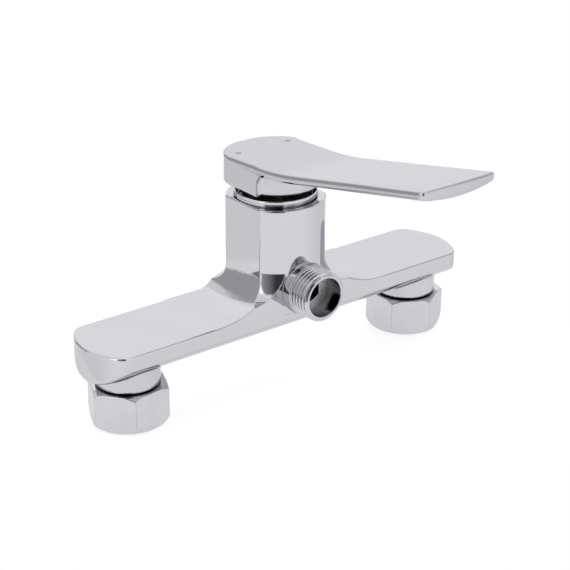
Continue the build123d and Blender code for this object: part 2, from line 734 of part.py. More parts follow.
# Lever handle: the blade is one crowned section swept along the bend, cut to the outline, joined to the hub
overrun = lever_back_r
slab_side = hub_r + blade_margin
slab_back = (overrun, lever_kink_z - lever_hub_slope * (overrun - lever_kink_y))
slab_tip = (-lever_tip - overrun, lever_kink_z + lever_blade_slope * (lever_tip + overrun + lever_kink_y))
grub_front = grub_tip_y + grub_length
with BuildPart() as lever_handle:
    with BuildLine(Plane.YZ) as spine:
        FilletPolyline(slab_back, (lever_kink_y, lever_kink_z), slab_tip, radius=lever_bend_r)
    with BuildSketch(Plane(spine.line @ 0, x_dir=(1, 0, 0), z_dir=spine.line % 0)):
        with BuildLine():
            Line((-slab_side, 0), (slab_side, 0))
            Line((slab_side, 0), (slab_side, -blade_side))
            ThreePointArc((slab_side, -blade_side), (0, -blade_middle), (-slab_side, -blade_side))
            Line((-slab_side, -blade_side), (-slab_side, 0))
        make_face()
    sweep()
    with BuildSketch(Plane.XY.offset(hub_bottom)):
        add(lever_outline.sketch)
    extrude(amount=lever_kink_z, mode=Mode.INTERSECT)
    add(hub.part)
    # boss with the spindle's square socket, and a rib that carries the grub screw's hole to the back wall
    with BuildSketch(lean_plane.offset(socket_boss_start)):
        Circle(socket_boss_r)
    extrude(amount=spindle_length + socket_wall - socket_boss_start)
    with BuildSketch(Plane.XY.offset(grub_z - rib_drop)):
        with Locations((0, grub_tip_y)):
            Rectangle(rib_width, hub_cavity_r - grub_tip_y + rib_lap, align=(Align.CENTER, Align.MIN))
    extrude(amount=hub_cavity_top - grub_z + rib_drop + rib_lap)
    with BuildSketch(lean_plane.offset(socket_boss_start - rib_drop)):
        Rectangle(spindle_width + 2 * socket_clearance, spindle_width + 2 * socket_clearance)
    extrude(amount=spindle_length + socket_clearance - socket_boss_start + rib_drop, mode=Mode.SUBTRACT)
    with BuildSketch(Plane((0, lever_back, grub_z), x_dir=(1, 0, 0), z_dir=(0, 1, 0))):
        Circle(grub_r + thread_gap)
    extrude(amount=-(lever_back - grub_tip_y), mode=Mode.SUBTRACT)
    with BuildSketch(Plane((0, lever_back, grub_z), x_dir=(1, 0, 0), z_dir=(0, 1, 0))):
        Circle(plug_r + thread_gap)
    extrude(amount=-plug_length, mode=Mode.SUBTRACT)
    for side in (-1, 1):
        with BuildSketch(Plane((side * dot_x, dot_y, dot_z), x_dir=(1, 0, 0), z_dir=hub_up)):
            Circle(dot_r)
        extrude(amount=-dot_depth, mode=Mode.SUBTRACT)
lever_handle.part.label = "lever_handle"
export_step(lever_handle.part, "parts/lever_handle.step")

for name, side in (("index_dot_left", -1), ("index_dot_right", 1)):
    with BuildPart() as index_dot:
        with BuildSketch(Plane((side * dot_x, dot_y, dot_z), x_dir=(1, 0, 0), z_dir=hub_up)):
            Circle(dot_r)
        extrude(amount=-dot_depth)
    index_dot.part.label = name
    export_step(index_dot.part, f"parts/{name}.step")

with BuildPart() as grub_screw:
    with BuildSketch(Plane((0, grub_tip_y, grub_z), x_dir=(1, 0, 0), z_dir=(0, 1, 0))):
        Circle(grub_r)
    extrude(amount=grub_length)
    chamfer(grub_screw.edges().filter_by(GeomType.CIRCLE), length=grub_edge)
    with BuildSketch(Plane((0, grub_front, grub_z), x_dir=(1, 0, 0), z_dir=(0, 1, 0))):
        RegularPolygon(grub_key_flats / 3**0.5, 6)
    extrude(amount=-grub_key_depth, mode=Mode.SUBTRACT)
grub_screw.part.label = "grub_screw"
export_step(grub_screw.part, "parts/grub_screw.step")

with BuildPart() as grub_plug:
    with BuildSketch(Plane((0, lever_back - plug_length, grub_z), x_dir=(1, 0, 0), z_dir=(0, 1, 0))):
        Circle(plug_r)
    extrude(amount=plug_length - plug_inset)
    fillet(grub_plug.faces().sort_by(Axis.Y)[-1].edges(), radius=plug_edge)
grub_plug.part.label = "grub_plug"
export_step(grub_plug.part, "parts/grub_plug.step")
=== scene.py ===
import math

import bmesh
import bpy
from mathutils import Matrix, Vector


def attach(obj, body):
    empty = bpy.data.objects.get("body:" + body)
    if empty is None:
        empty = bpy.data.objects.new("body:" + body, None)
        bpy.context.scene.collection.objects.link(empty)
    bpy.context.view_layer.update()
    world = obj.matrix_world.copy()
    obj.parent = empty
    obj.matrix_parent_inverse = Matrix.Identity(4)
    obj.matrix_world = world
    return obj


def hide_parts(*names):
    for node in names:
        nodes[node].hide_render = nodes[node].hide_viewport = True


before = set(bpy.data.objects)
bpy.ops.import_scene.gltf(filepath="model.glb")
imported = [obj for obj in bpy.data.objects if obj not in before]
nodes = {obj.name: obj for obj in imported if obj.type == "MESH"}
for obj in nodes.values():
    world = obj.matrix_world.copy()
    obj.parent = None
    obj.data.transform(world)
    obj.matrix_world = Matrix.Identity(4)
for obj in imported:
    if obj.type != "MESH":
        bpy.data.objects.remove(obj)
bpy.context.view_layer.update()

mm = 0.001


# Body casting: one brass casting with the bar, the flared foot, the tower and the spigot's boss. It is
# ground, polished on soft wheels and then nickel and chrome plated, so it is a near mirror whose tone and
# surface wander very slightly.
grain_detail = 3.0
plate_tint = (0.8, 0.8, 0.82, 1.0)
edge_samples = 8
# reach and limits of the painted shade in creases, found by ambient occlusion
crease_reach = 2.4
crease_deep = 0.32
crease_open = 0.74
# limits of the painted shade along sharp edges, where the eased normal turns away from the surface's own
edge_turned = 0.9
edge_level = 0.995
edge_shade_level = 0.7


def speckled(name, dark, light, grain, gloss, relief, metal=0.0, edge=0.0, crease=0.12):
    """A finish whose colour, gloss and height wander between two limits over grains of the given size.
    Where edge is given, light bends round sharp edges, as where a polishing wheel has eased them, the colour is a
    little darker along them as painted shade, and creases go down to the share crease of the tone as painted shade."""
    finish = bpy.data.materials.new(name)
    finish.use_nodes = True
    tree = finish.node_tree
    shader = tree.nodes["Principled BSDF"]
    shader.inputs["Metallic"].default_value = metal
    if metal:
        shader.inputs["Specular Tint"].default_value = plate_tint
    place = tree.nodes.new("ShaderNodeTexCoord")
    cloud = tree.nodes.new("ShaderNodeTexNoise")
    cloud.name = "grain"
    cloud.inputs["Scale"].default_value = 1 / grain
    cloud.inputs["Detail"].default_value = grain_detail
    tree.links.new(place.outputs["Object"], cloud.inputs["Vector"])
    tone = tree.nodes.new("ShaderNodeMix")
    tone.data_type = "RGBA"
    tone.name = "tone"
    tone.inputs["A"].default_value = (*dark, 1.0)
    tone.inputs["B"].default_value = (*light, 1.0)
    tree.links.new(cloud.outputs["Fac"], tone.inputs["Factor"])
    tree.links.new(tone.outputs["Result"], shader.inputs["Base Color"])
    sheen = tree.nodes.new("ShaderNodeMapRange")
    sheen.inputs["To Min"].default_value = gloss[0]
    sheen.inputs["To Max"].default_value = gloss[1]
    tree.links.new(cloud.outputs["Fac"], sheen.inputs["Value"])
    tree.links.new(sheen.outputs["Result"], shader.inputs["Roughness"])
    bump = tree.nodes.new("ShaderNodeBump")
    bump.name = "relief"
    bump.inputs["Strength"].default_value = 1.0
    bump.inputs["Distance"].default_value = relief
    tree.links.new(cloud.outputs["Fac"], bump.inputs["Height"])
    tree.links.new(bump.outputs["Normal"], shader.inputs["Normal"])
    if edge:
        eased = tree.nodes.new("ShaderNodeBevel")
        eased.samples = edge_samples
        eased.inputs["Radius"].default_value = edge
        tree.links.new(eased.outputs["Normal"], bump.inputs["Normal"])
        # painted shade: ambient occlusion darkens the colour in creases, down to the share crease of the tone
        corner = tree.nodes.new("ShaderNodeAmbientOcclusion")
        corner.samples = edge_samples
        corner.inputs["Distance"].default_value = crease_reach * edge
        painted_crease_shade = tree.nodes.new("ShaderNodeMapRange")
        painted_crease_shade.inputs["From Min"].default_value = crease_deep
        painted_crease_shade.inputs["From Max"].default_value = crease_open
        painted_crease_shade.inputs["To Min"].default_value = crease
        tree.links.new(corner.outputs["AO"], painted_crease_shade.inputs["Value"])
        # painted shade: the colour darkens along sharp edges, where the eased normal turns away from the surface's own
        surface = tree.nodes.new("ShaderNodeNewGeometry")
        turn_away = tree.nodes.new("ShaderNodeVectorMath")
        turn_away.operation = "DOT_PRODUCT"
        tree.links.new(eased.outputs["Normal"], turn_away.inputs[0])
        tree.links.new(surface.outputs["Normal"], turn_away.inputs[1])
        painted_edge_shade = tree.nodes.new("ShaderNodeMapRange")
        painted_edge_shade.inputs["From Min"].default_value = edge_turned
        painted_edge_shade.inputs["From Max"].default_value = edge_level
        painted_edge_shade.inputs["To Min"].default_value = edge_shade_level
        tree.links.new(turn_away.outputs["Value"], painted_edge_shade.inputs["Value"])
        both = tree.nodes.new("ShaderNodeMath")
        both.operation = "MULTIPLY"
        tree.links.new(painted_crease_shade.outputs["Result"], both.inputs[0])
        tree.links.new(painted_edge_shade.outputs["Result"], both.inputs[1])
        # the tone times both painted shades, in creases and along edges
        painted_shade_tone = tree.nodes.new("ShaderNodeMix")
        painted_shade_tone.data_type = "RGBA"
        painted_shade_tone.blend_type = "MULTIPLY"
        painted_shade_tone.inputs["Factor"].default_value = 1.0
        tree.links.new(tone.outputs["Result"], painted_shade_tone.inputs["A"])
        tree.links.new(both.outputs[0], painted_shade_tone.inputs["B"])
        tree.links.new(painted_shade_tone.outputs["Result"], shader.inputs["Base Color"])
    return finish


def dress(node, finish):
    """Give a node from the solid model its finish, in every material slot it has."""
    for place in nodes[node].material_slots:
        place.material = finish


# painted shade in its creases and along its sharp edges
chrome_plate = speckled(
    "chrome_plate", (0.535, 0.535, 0.562), (0.57, 0.57, 0.598), 14 * mm, (0.03, 0.07), 0.03 * mm, metal=1.0,
    edge=0.7 * mm, crease=0.4,
)
dress("body_casting", chrome_plate)


# Union nuts: hexagon brass bar, turned at both ends and chrome plated, each hanging on its nipple's flange.
# They are polished less than the casting, so their faces are a little softer.
# painted shade in their creases and along their sharp edges
nut_plate = speckled(
    "nut_plate", (0.54, 0.54, 0.565), (0.62, 0.62, 0.648), 8 * mm, (0.06, 0.12), 0.001 * mm, metal=1.0,
    edge=0.6 * mm, crease=0.4,
)
for side in ("left", "right"):
    dress("union_nut_" + side, nut_plate)


# Inlet nipples: turned brass tubes screwed into the casting's necks, left bare, with a flange that holds
# the union nut. The lathe leaves fine rings round each one's upright axis.
wave_repeat = 0.314
ring_waver = 1.5
ring_detail = 2.0


def turned(finish, axis, pitch, depth):
    """Add the fine rings that a lathe leaves along one axis, as bands of height on top of the grain. At scale 1 the
    bands repeat every wave_repeat metres."""
    tree = finish.node_tree
    rings = tree.nodes.new("ShaderNodeTexWave")
    rings.bands_direction = axis
    rings.inputs["Scale"].default_value = wave_repeat / pitch
    rings.inputs["Distortion"].default_value = ring_waver
    rings.inputs["Detail"].default_value = ring_detail
    tree.links.new(tree.nodes["Texture Coordinate"].outputs["Object"], rings.inputs["Vector"])
    cut = tree.nodes.new("ShaderNodeBump")
    cut.inputs["Strength"].default_value = 1.0
    cut.inputs["Distance"].default_value = depth
    tree.links.new(rings.outputs["Fac"], cut.inputs["Height"])
    tree.links.new(cut.outputs["Normal"], tree.nodes["relief"].inputs["Normal"])
    return finish


bare_brass = turned(
    speckled("bare_brass", (0.60, 0.44, 0.20), (0.72, 0.56, 0.29), 3 * mm, (0.2, 0.34), 0.002 * mm, metal=1.0),
    "Z", 0.35 * mm, 0.003 * mm,
)
for side in ("left", "right"):
    dress("inlet_nipple_" + side, bare_brass)


# Washers and seal rings: flat rings pressed from black rubber sheet, with a dusty bloom and a fine grain. Each is
# squeezed between two brass faces when its nut, nipple, spigot or cartridge is tightened.
sheet_rubber = speckled("sheet_rubber", (0.018, 0.018, 0.019), (0.05, 0.05, 0.052), 0.8 * mm, (0.6, 0.85), 0.02 * mm)
for node in ("inlet_washer_left", "inlet_washer_right", "nipple_seal_left", "nipple_seal_right", "spigot_seal",
             "cartridge_gasket"):
    dress(node, sheet_rubber)


# Strainers: domes of stainless steel wire net, each crimped in a flat rim that lies inside its washer. The rim is
# turned row by row round its axis, and a node tree lays the net in it.
inlet_reach = 75 * mm
rim_outer_r = 8.0 * mm
rim_inner_r = 6.9 * mm
rim_low_z = 7.2 * mm
rim_thick = 0.5 * mm
rim_around = 72
wire_sides = 6
net_crease = math.radians(40)
net_steel = speckled(
    "net_steel", (0.46, 0.46, 0.47), (0.64, 0.64, 0.65), 0.6 * mm, (0.22, 0.38), 0.004 * mm, metal=1.0
)

net = bpy.data.node_groups.new("wire_net", "GeometryNodeTree")
net.interface.new_socket("Geometry", in_out="INPUT", socket_type="NodeSocketGeometry")
net.interface.new_socket("Geometry", in_out="OUTPUT", socket_type="NodeSocketGeometry")
net_sizes = {
    "Wire Spacing": 0.85 * mm, "Wire Radius": 0.15 * mm, "Net Radius": 7.15 * mm, "Dome Rise": 1.15 * mm,
    "Rim Height": rim_low_z + rim_thick / 2, "Centre": 0.0,
}
net_inputs = {
    label: net.interface.new_socket(label, in_out="INPUT", socket_type="NodeSocketFloat") for label in net_sizes
}
rim_in = net.nodes.new("NodeGroupInput")
net_out = net.nodes.new("NodeGroupOutput")


def worked(tree, operation, *terms, clamp=False):
    """One Math node of a node tree, fed by sockets or plain numbers; gives its result socket."""
    node = tree.nodes.new("ShaderNodeMath")
    node.operation = operation
    node.use_clamp = clamp
    for socket, term in zip(node.inputs, terms):
        if isinstance(term, (int, float)):
            socket.default_value = term
        else:
            tree.links.new(term, socket)
    return node.outputs[0]


net_span = worked(net, "MULTIPLY", rim_in.outputs["Net Radius"], 2.0)
wires = worked(net, "ADD", worked(net, "ROUND", worked(net, "DIVIDE", net_span, rim_in.outputs["Wire Spacing"])), 1.0)
flat_net = net.nodes.new("GeometryNodeMeshGrid")
for label in ("Size X", "Size Y"):
    net.links.new(net_span, flat_net.inputs[label])
for label in ("Vertices X", "Vertices Y"):
    net.links.new(wires, flat_net.inputs[label])
knot = net.nodes.new("GeometryNodeInputPosition")
knot_reach = net.nodes.new("ShaderNodeVectorMath")
knot_reach.operation = "LENGTH"
net.links.new(knot.outputs[0], knot_reach.inputs[0])
share = worked(net, "DIVIDE", knot_reach.outputs["Value"], rim_in.outputs["Net Radius"])
trim = net.nodes.new("GeometryNodeDeleteGeometry")
net.links.new(flat_net.outputs["Mesh"], trim.inputs["Geometry"])
net.links.new(worked(net, "GREATER_THAN", share, 1.0), trim.inputs["Selection"])
dome = worked(net, "MULTIPLY", rim_in.outputs["Dome Rise"], worked(
    net, "SUBTRACT", 1.0, worked(net, "MULTIPLY", share, share)))
lift = net.nodes.new("ShaderNodeCombineXYZ")
net.links.new(rim_in.outputs["Centre"], lift.inputs[0])
net.links.new(worked(net, "ADD", rim_in.outputs["Rim Height"], dome), lift.inputs[2])
press = net.nodes.new("GeometryNodeSetPosition")
net.links.new(trim.outputs["Geometry"], press.inputs["Geometry"])
net.links.new(lift.outputs[0], press.inputs["Offset"])
lines = net.nodes.new("GeometryNodeMeshToCurve")
net.links.new(press.outputs["Geometry"], lines.inputs["Mesh"])
wire_round = net.nodes.new("GeometryNodeCurvePrimitiveCircle")
wire_round.inputs["Resolution"].default_value = wire_sides
net.links.new(rim_in.outputs["Wire Radius"], wire_round.inputs["Radius"])
drawn = net.nodes.new("GeometryNodeCurveToMesh")
drawn.inputs["Fill Caps"].default_value = True
net.links.new(lines.outputs["Curve"], drawn.inputs["Curve"])
net.links.new(wire_round.outputs["Curve"], drawn.inputs["Profile Curve"])
both = net.nodes.new("GeometryNodeJoinGeometry")
net.links.new(drawn.outputs["Mesh"], both.inputs[0])
net.links.new(rim_in.outputs["Geometry"], both.inputs[0])
real_net = net.nodes.new("GeometryNodeRealizeInstances")
net.links.new(both.outputs[0], real_net.inputs[0])
net_coat = net.nodes.new("GeometryNodeSetMaterial")
net_coat.inputs["Material"].default_value = net_steel
net.links.new(real_net.outputs[0], net_coat.inputs["Geometry"])
net.links.new(net_coat.outputs[0], net_out.inputs[0])

for side, centre in (("left", -inlet_reach), ("right", inlet_reach)):
    ring = bmesh.new()
    ring_loops = []
    for radius, z in ((rim_inner_r, rim_low_z), (rim_outer_r, rim_low_z), (rim_outer_r, rim_low_z + rim_thick),
                      (rim_inner_r, rim_low_z + rim_thick)):
        ring_loops.append([
            ring.verts.new((
                centre + radius * math.cos(2 * math.pi * step / rim_around),
                radius * math.sin(2 * math.pi * step / rim_around), z,
            )) for step in range(rim_around)
        ])
    for near, far in zip(ring_loops, ring_loops[1:] + ring_loops[:1]):
        for step in range(rim_around):
            after = (step + 1) % rim_around
            ring.faces.new((near[step], near[after], far[after], far[step]))
    bmesh.ops.recalc_face_normals(ring, faces=ring.faces)
    ring_mesh = bpy.data.meshes.new("strainer_rim")
    ring.to_mesh(ring_mesh)
    ring.free()
    rim = bpy.data.objects.new("strainer_rim", ring_mesh)
    bpy.context.scene.collection.objects.link(rim)
    weaving = rim.modifiers.new("wire_net", "NODES")
    weaving.node_group = net
    for label, size in net_sizes.items():
        weaving[net_inputs[label].identifier] = centre if label == "Centre" else size
    strainer_mesh = bpy.data.meshes.new_from_object(rim.evaluated_get(bpy.context.evaluated_depsgraph_get()))
    bpy.data.objects.remove(rim)
    strainer_mesh.shade_smooth()
    strainer_mesh.set_sharp_from_angle(angle=net_crease)
    strainer = bpy.data.objects.new("net_strainer_" + side, strainer_mesh)
    bpy.context.scene.collection.objects.link(strainer)
    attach(strainer, "body")
    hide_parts("inlet_strainer_" + side)


# Hose spigot: a plated brass tube screwed into the boss. It has a G 1/2 pipe thread outside for the hose's nut,
# a chamfered mouth, and a hexagon inside for the key. The whole tube is one mesh, turned row by row round its
# axis, and a node tree then cuts the thread's helix into it.
spigot_z = 43.7 * mm
spigot_back = -14.75 * mm
boss_end = -23.0 * mm
spigot_end = -32.6 * mm
shank_r = 8.6 * mm
thread_crest = 10.4775 * mm
thread_root = 9.316 * mm
thread_pitch = 1.814 * mm
mouth_chamfer = 1.1 * mm
mouth_r = 8.25 * mm
mouth_floor = -23.6 * mm
mouth_ease = 0.2 * mm
key_flats = 8 * mm
around = 144
thread_rows = 130
chamfer_rows = 12
thread_run_out = 0.5 * mm
thread_crease = math.radians(38)
flank_low = 0.1
flank_high = 0.9
floor_rim_share = 0.9
touch = 0.01 * mm

rows = [(spigot_back, shank_r), (boss_end, shank_r), (boss_end, thread_crest)]
thread_end = spigot_end + mouth_chamfer
for step in range(1, thread_rows + 1):
    rows.append((boss_end + (thread_end - boss_end) * step / thread_rows, thread_crest))
for step in range(1, chamfer_rows + 1):
    bevelled = mouth_chamfer * step / chamfer_rows
    rows.append((thread_end - bevelled, thread_crest - bevelled))
rows += [
    (spigot_end, mouth_r + mouth_ease), (spigot_end + mouth_ease, mouth_r), (mouth_floor, mouth_r),
    (mouth_floor, 0.0), (spigot_back, 0.0),
]
turning = bmesh.new()
loops = []
for y, radius in rows:
    loop = []
    for step in range(around):
        turn = 2 * math.pi * step / around
        reach = radius
        if radius == 0.0:
            reach = key_flats / 2 / math.cos((turn + math.pi / 6) % (math.pi / 3) - math.pi / 6)
        loop.append(turning.verts.new((reach * math.cos(turn), y, spigot_z + reach * math.sin(turn))))
    loops.append(loop)
for near, far in zip(loops, loops[1:] + loops[:1]):
    for step in range(around):
        after = (step + 1) % around
        turning.faces.new((near[step], near[after], far[after], far[step]))
bmesh.ops.recalc_face_normals(turning, faces=turning.faces)
# painted light and shade: the bore's floor gets a bright colour, and the walls of the bore and of the key hexagon get a
# dark one
for face in turning.faces:
    far_reach = max(math.hypot(corner.co.x, corner.co.z - spigot_z) for corner in face.verts)
    on_floor = [abs(corner.co.y - mouth_floor) < touch for corner in face.verts]
    if all(on_floor) and far_reach > floor_rim_share * mouth_r:
        face.material_index = 1
    elif any(on_floor):
        face.material_index = 2
# painted light on the bore's floor
painted_light_floor = turned(
    speckled("painted_light_floor", (0.86, 0.86, 0.87), (0.94, 0.94, 0.95), 0.8 * mm, (0.5, 0.62), 0.002 * mm, metal=1.0),
    "Y", 0.3 * mm, 0.002 * mm,
)
# painted shade on the walls of the bore and of the key hexagon
painted_shade_bore = turned(
    speckled("painted_shade_bore", (0.20, 0.20, 0.21), (0.34, 0.34, 0.35), 1.5 * mm, (0.08, 0.16), 0.002 * mm, metal=1.0),
    "Y", 0.4 * mm, 0.004 * mm,
)
spigot_mesh = bpy.data.meshes.new("threaded_spigot")
spigot_mesh.materials.append(chrome_plate)
spigot_mesh.materials.append(painted_light_floor)
spigot_mesh.materials.append(painted_shade_bore)
turning.to_mesh(spigot_mesh)
turning.free()
spigot_blank = bpy.data.objects.new("spigot_blank", spigot_mesh)
bpy.context.scene.collection.objects.link(spigot_blank)

thread_plate = speckled(
    "thread_plate", (0.52, 0.52, 0.54), (0.62, 0.62, 0.645), 1.2 * mm, (0.1, 0.2), 0.002 * mm, metal=1.0
)

thread_cut = bpy.data.node_groups.new("pipe_thread", "GeometryNodeTree")
thread_cut.interface.new_socket("Geometry", in_out="INPUT", socket_type="NodeSocketGeometry")
thread_cut.interface.new_socket("Geometry", in_out="OUTPUT", socket_type="NodeSocketGeometry")
thread_sizes = (
    ("Pitch", thread_pitch), ("Crest Radius", thread_crest), ("Root Radius", thread_root), ("Axis Height", spigot_z),
    ("Start", boss_end), ("Run-out", thread_run_out),
)
thread_inputs = {}
for label, size in thread_sizes:
    thread_inputs[label] = thread_cut.interface.new_socket(label, in_out="INPUT", socket_type="NodeSocketFloat")
blank = thread_cut.nodes.new("NodeGroupInput")
made = thread_cut.nodes.new("NodeGroupOutput")

spot = thread_cut.nodes.new("GeometryNodeInputPosition")
parts = thread_cut.nodes.new("ShaderNodeSeparateXYZ")
thread_cut.links.new(spot.outputs[0], parts.inputs[0])
x, y, z = parts.outputs
rise = worked(thread_cut, "SUBTRACT", z, blank.outputs["Axis Height"])
radius = worked(thread_cut, "SQRT", worked(
    thread_cut, "ADD", worked(thread_cut, "MULTIPLY", x, x), worked(thread_cut, "MULTIPLY", rise, rise)))
turns = worked(thread_cut, "DIVIDE", worked(thread_cut, "ARCTAN2", rise, x), 2 * math.pi)
along = worked(thread_cut, "SUBTRACT", blank.outputs["Start"], y)
phase = worked(thread_cut, "FRACT", worked(
    thread_cut, "ADD", worked(thread_cut, "DIVIDE", along, blank.outputs["Pitch"]), turns))
slope = worked(thread_cut, "ABSOLUTE", worked(
    thread_cut, "SUBTRACT", worked(thread_cut, "MULTIPLY", phase, 2.0), 1.0))
flank = thread_cut.nodes.new("ShaderNodeMapRange")
flank.interpolation_type = "SMOOTHSTEP"
flank.inputs["From Min"].default_value = flank_low
flank.inputs["From Max"].default_value = flank_high
thread_cut.links.new(slope, flank.inputs["Value"])
fade = worked(thread_cut, "DIVIDE", along, blank.outputs["Run-out"], clamp=True)
depth = worked(thread_cut, "MULTIPLY", worked(
    thread_cut, "SUBTRACT", blank.outputs["Crest Radius"], blank.outputs["Root Radius"]),
    worked(thread_cut, "MULTIPLY", flank.outputs["Result"], fade))
cut_radius = worked(thread_cut, "SUBTRACT", blank.outputs["Crest Radius"], depth)
new_radius = worked(thread_cut, "MINIMUM", radius, cut_radius)
scale = worked(thread_cut, "DIVIDE", new_radius, radius)
outside = worked(thread_cut, "MULTIPLY", worked(
    thread_cut, "GREATER_THAN", radius, worked(thread_cut, "SUBTRACT", blank.outputs["Root Radius"], touch)),
    worked(thread_cut, "GREATER_THAN", along, -touch))
moved = thread_cut.nodes.new("ShaderNodeCombineXYZ")
thread_cut.links.new(worked(thread_cut, "MULTIPLY", x, scale), moved.inputs[0])
thread_cut.links.new(y, moved.inputs[1])
thread_cut.links.new(worked(
    thread_cut, "ADD", blank.outputs["Axis Height"], worked(thread_cut, "MULTIPLY", rise, scale)), moved.inputs[2])
shift = thread_cut.nodes.new("GeometryNodeSetPosition")
thread_cut.links.new(blank.outputs["Geometry"], shift.inputs["Geometry"])
thread_cut.links.new(outside, shift.inputs["Selection"])
thread_cut.links.new(moved.outputs[0], shift.inputs["Position"])
smooth = thread_cut.nodes.new("GeometryNodeSetShadeSmooth")
thread_cut.links.new(shift.outputs["Geometry"], smooth.inputs["Geometry"])
solid = thread_cut.nodes.new("GeometryNodeRealizeInstances")
thread_cut.links.new(smooth.outputs["Geometry"], solid.inputs["Geometry"])
coat = thread_cut.nodes.new("GeometryNodeSetMaterial")
coat.inputs["Material"].default_value = thread_plate
thread_cut.links.new(solid.outputs["Geometry"], coat.inputs["Geometry"])
thread_cut.links.new(outside, coat.inputs["Selection"])
thread_cut.links.new(coat.outputs["Geometry"], made.inputs["Geometry"])

cutter = spigot_blank.modifiers.new("pipe_thread", "NODES")
cutter.node_group = thread_cut
for label, size in thread_sizes:
    cutter[thread_inputs[label].identifier] = size
finished = bpy.data.meshes.new_from_object(spigot_blank.evaluated_get(bpy.context.evaluated_depsgraph_get()))
bpy.data.objects.remove(spigot_blank)
finished.set_sharp_from_angle(angle=thread_crease)
threaded_spigot = bpy.data.objects.new("threaded_spigot", finished)
bpy.context.scene.collection.objects.link(threaded_spigot)
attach(threaded_spigot, "body")
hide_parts("hose_spigot")


# Cartridge: an acetal housing, base, rotor and disc carrier, moulded and left as they come from the mould, round
# two alumina discs that are lapped flat and smooth enough to seal on each other.
moulded_acetal = speckled("moulded_acetal", (0.76, 0.76, 0.74), (0.86, 0.86, 0.84), 4 * mm, (0.36, 0.48), 0.004 * mm)
for node in ("cartridge_base", "cartridge_housing", "rotor", "disc_carrier"):
    dress(node, moulded_acetal)
lapped_alumina = speckled("lapped_alumina", (0.86, 0.84, 0.79), (0.93, 0.92, 0.88), 0.5 * mm, (0.14, 0.24), 0.001 * mm)
for node in ("fixed_disc", "moving_disc"):
    dress(node, lapped_alumina)


# Spindle and its pivot pin: the spindle is milled from drawn square brass bar, whose faces keep long draw lines,
# and rocks on a ground steel pin pressed through the rotor.
drawn_brass = turned(
    speckled("drawn_brass", (0.58, 0.43, 0.20), (0.70, 0.54, 0.28), 2 * mm, (0.24, 0.36), 0.002 * mm, metal=1.0),
    "X", 0.18 * mm, 0.002 * mm,
)
dress("spindle", drawn_brass)
ground_steel = turned(
    speckled("ground_steel", (0.52, 0.52, 0.53), (0.63, 0.63, 0.64), 1 * mm, (0.18, 0.28), 0.001 * mm, metal=1.0),
    "X", 0.1 * mm, 0.001 * mm,
)
dress("pivot_pin", ground_steel)


# Clamp nut: it screws into the tower and holds the cartridge down. It is turned from brass, and its colour is
# painted near-black as the shade in the gap under the lever.
painted_shade_brass = turned(
    speckled("painted_shade_brass", (0.02, 0.018, 0.015), (0.06, 0.055, 0.045), 2 * mm, (0.3, 0.5), 0.004 * mm, metal=1.0),
    "Z", 0.3 * mm, 0.003 * mm,
)
dress("clamp_nut", painted_shade_brass)


# Shroud ring: a thin brass ring that sits on the tower's top round the clamp nut, turned in two bands with a
# groove between them, and plated like the casting.
ring_plate = turned(
    speckled("ring_plate", (0.55, 0.55, 0.577), (0.60, 0.60, 0.628), 4 * mm, (0.04, 0.08), 0.0008 * mm, metal=1.0),
    "Z", 0.2 * mm, 0.0006 * mm,
)
dress("shroud_ring", ring_plate)


# Lever: a zinc die casting, hollow underneath, polished and chrome plated like the body. Two shallow grey enamel
# dots on its top mark the hot and cold sides.
# painted shade in its creases and along its sharp edges
lever_plate = speckled(
    "lever_plate", (0.505, 0.505, 0.53), (0.535, 0.535, 0.56), 16 * mm, (0.04, 0.08), 0.03 * mm, metal=1.0,
    edge=1.3 * mm,
)
dress("lever_handle", lever_plate)
lever_edge = 1.0 * mm
lever_edge_steps = 4
hub_front = -24 * mm
dot_clear = 14 * mm
rim_low = 95 * mm
screw_hole_top = 104 * mm
merge_reach = 0.001 * mm
flat_within = math.radians(0.5)
edge_from = math.radians(35)
lever_crease = math.radians(30)
upward = 0.6
shaping = bmesh.new()
shaping.from_mesh(nodes["lever_handle"].data)
bmesh.ops.remove_doubles(shaping, verts=shaping.verts, dist=merge_reach)
bmesh.ops.dissolve_limit(shaping, angle_limit=flat_within, verts=shaping.verts, edges=shaping.edges)
weight = shaping.edges.layers.float.new("bevel_weight_edge")
for edge in shaping.edges:
    if len(edge.link_faces) != 2 or edge.calc_face_angle() < edge_from or not edge.is_convex:
        continue
    middle = (edge.verts[0].co + edge.verts[1].co) / 2
    on_blade = middle.y < hub_front
    faces_up = max(face.normal.z for face in edge.link_faces) > upward
    above_holes = middle.z > (screw_hole_top if middle.y > 0 else rim_low)
    on_rim = faces_up and above_holes and math.hypot(middle.x, middle.y) > dot_clear
    if on_blade or on_rim:
        edge[weight] = 1.0
lever_mesh = bpy.data.meshes.new("softened_lever")
shaping.to_mesh(lever_mesh)
shaping.free()
lever_mesh.materials.append(lever_plate)
lever_mesh.shade_smooth()
lever_mesh.set_sharp_from_angle(angle=lever_crease)
lever_blank = bpy.data.objects.new("lever_blank", lever_mesh)
bpy.context.scene.collection.objects.link(lever_blank)
easing = lever_blank.modifiers.new("easing", "BEVEL")
easing.limit_method = "WEIGHT"
easing.width = lever_edge
easing.segments = lever_edge_steps
easing.use_clamp_overlap = False
weigh = lever_blank.modifiers.new("weigh", "WEIGHTED_NORMAL")
weigh.keep_sharp = True
finished = bpy.data.meshes.new_from_object(lever_blank.evaluated_get(bpy.context.evaluated_depsgraph_get()))
bpy.data.objects.remove(lever_blank)
softened_lever = bpy.data.objects.new("softened_lever", finished)
bpy.context.scene.collection.objects.link(softened_lever)
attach(softened_lever, "lever")
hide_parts("lever_handle")
grey_enamel = speckled("grey_enamel", (0.16, 0.16, 0.17), (0.24, 0.24, 0.25), 0.6 * mm, (0.25, 0.4), 0.004 * mm)
for side in ("left", "right"):
    dress("index_dot_" + side, grey_enamel)


